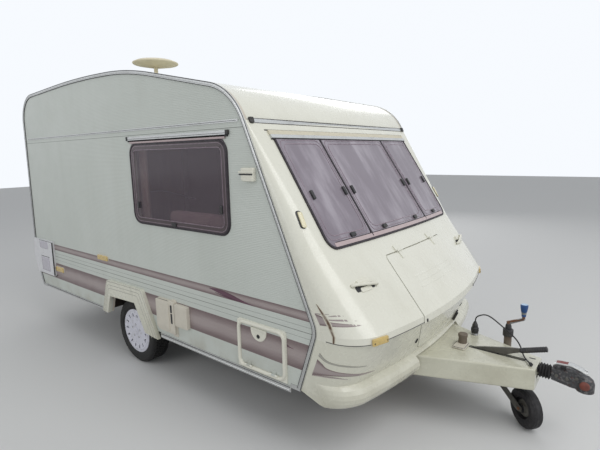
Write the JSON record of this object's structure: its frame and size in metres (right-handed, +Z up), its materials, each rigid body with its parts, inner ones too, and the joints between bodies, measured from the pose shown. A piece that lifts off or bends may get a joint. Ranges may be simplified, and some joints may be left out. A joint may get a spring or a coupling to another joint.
{
  "type": "travel caravan",
  "caption": "Single-axle touring caravan with a sloping front, opening door, lid and hatch, folding steadies, jockey wheel and ball coupling.",
  "frame": {"origin": "on the ground below the middle of the overall length and width", "axes": "+X forward to the coupling, +Y to the nearside (door side), +Z up"},
  "size_m": [5.2601, 2.19, 2.6167],
  "materials": {
    "wall_panel": "pale greenish-grey ribbed aluminium sheet, stoved",
    "moulded_shell": "ivory gel coat, smooth, slightly dulled",
    "bright_trim": "extruded aluminium with a black insert",
    "tinted_acrylic": "mauve-brown tinted acrylic",
    "road_tyre": "worn black rubber",
    "wheel_trim": "lilac-grey moulded trim",
    "galvanised_steel": "galvanised, dull, some rust",
    "drawbar_moulding": "white moulded cover, weathered",
    "cast_metal": "painted casting with rust at the ball cup",
    "black_rubber": "black rubber",
    "black_plastic": "black moulded plastic",
    "lamp_lens": "amber and red lens plastic on mauve-grey mouldings",
    "vent_plastic": "beige-pink moulded grille",
    "aerial_plastic": "white moulded dome",
    "furniture_board": "faced board, light oak",
    "seat_fabric": "woven upholstery, beige-pink"
  },
  "bodies": {
    "root": {"appliance_vents": "vent_plastic", "axle": "galvanised_steel", "bench_boxes": "furniture_board", "bench_cushions": "seat_fabric", "chassis": "galvanised_steel", "coupling_bellows": "black_rubber", "coupling_head": "cast_metal", "deck_posts": "black_plastic", "drawbar_cover": "drawbar_moulding", "edge_rails": "bright_trim", "floor": "furniture_board", "front_bumper": "moulded_shell", "front_panel": "moulded_shell", "grab_handles": "moulded_shell", "handbrake_lever": "black_plastic", "hinge_leaves": "black_plastic", "jockey_clamp": "galvanised_steel", "jockey_tube": "galvanised_steel", "kitchen_unit": "furniture_board", "locker_box": "furniture_board", "marker_lamps": "lamp_lens", "nearside_wall": "wall_panel", "offside_wall": "wall_panel", "overrun_housing": "cast_metal", "rear_bumper": "moulded_shell", "rear_lamps": "lamp_lens", "rear_panel": "moulded_shell", "roof_panel": "moulded_shell", "rooflight": "moulded_shell", "service_locker_rim": "moulded_shell", "side_mouldings": "bright_trim", "steady_brackets": "galvanised_steel", "tow_lead": "black_rubber", "tow_plug": "black_plastic", "tv_aerial": "aerial_plastic", "washroom_wall": "furniture_board", "wheel_boxes": "furniture_board", "wheel_spats": "moulded_shell", "window_rails": "bright_trim", "windows": "tinted_acrylic"},
    "offside_road_wheel": {"offside_tyre": "road_tyre", "offside_wheel": "wheel_trim"},
    "nearside_road_wheel": {"nearside_tyre": "road_tyre", "nearside_wheel": "wheel_trim"},
    "jockey_leg": {"jockey_fork": "galvanised_steel"},
    "jockey_road_wheel": {"jockey_wheel": "road_tyre"},
    "door_leaf": {"entry_door": "wall_panel", "door_window": "tinted_acrylic"},
    "locker_lid": {"front_locker_lid": "moulded_shell"},
    "service_hatch": {"service_locker_door": "wall_panel"},
    "front_offside_leg": {"front_offside_steady": "galvanised_steel"},
    "front_nearside_leg": {"front_nearside_steady": "galvanised_steel"},
    "rear_offside_leg": {"rear_offside_steady": "galvanised_steel"},
    "rear_nearside_leg": {"rear_nearside_steady": "galvanised_steel"}
  },
  "joints": [
    {"name": "offside_wheel_spin", "type": "hinge", "parent": "root", "child": "offside_road_wheel", "pos_m": [-0.706, -0.915, 0.2915], "axis": [0, 1, 0], "continuous": true},
    {"name": "nearside_wheel_spin", "type": "hinge", "parent": "root", "child": "nearside_road_wheel", "pos_m": [-0.706, 0.915, 0.2915], "axis": [0, 1, 0], "continuous": true},
    {"name": "jockey_swivel", "type": "hinge", "parent": "root", "child": "jockey_leg", "pos_m": [2.094, 0.222, 0.3], "axis": [0, 0, 1], "continuous": true},
    {"name": "jockey_wheel_spin", "type": "hinge", "parent": "jockey_leg", "child": "jockey_road_wheel", "pos_m": [2.26587, 0.06173, 0.132], "axis": [0.682, 0.7314, 0], "continuous": true},
    {"name": "entry_door_hinge", "type": "hinge", "parent": "root", "child": "door_leaf", "pos_m": [-1.263, 1.075, 1.29], "axis": [0, 0, -1], "range_deg": [0, 160]},
    {"name": "front_locker_lid_hinge", "type": "hinge", "parent": "root", "child": "locker_lid", "pos_m": [1.4936, 0, 1.1756], "axis": [0, -1, 0], "range_deg": [0, 80]},
    {"name": "service_hatch_hinge", "type": "hinge", "parent": "root", "child": "service_hatch", "pos_m": [0.934, -1.083, 0.4695], "axis": [1, 0, 0], "range_deg": [0, 100]},
    {"name": "front_offside_steady_fold", "type": "hinge", "parent": "root", "child": "front_offside_leg", "pos_m": [0.544, -0.84, 0.372], "axis": [0, 1, 0], "range_deg": [0, 75]},
    {"name": "front_nearside_steady_fold", "type": "hinge", "parent": "root", "child": "front_nearside_leg", "pos_m": [0.544, 0.84, 0.372], "axis": [0, 1, 0], "range_deg": [0, 75]},
    {"name": "rear_offside_steady_fold", "type": "hinge", "parent": "root", "child": "rear_offside_leg", "pos_m": [-1.886, -0.84, 0.372], "axis": [0, -1, 0], "range_deg": [0, 75]},
    {"name": "rear_nearside_steady_fold", "type": "hinge", "parent": "root", "child": "rear_nearside_leg", "pos_m": [-1.886, 0.84, 0.372], "axis": [0, -1, 0], "range_deg": [0, 75]}
  ]
}
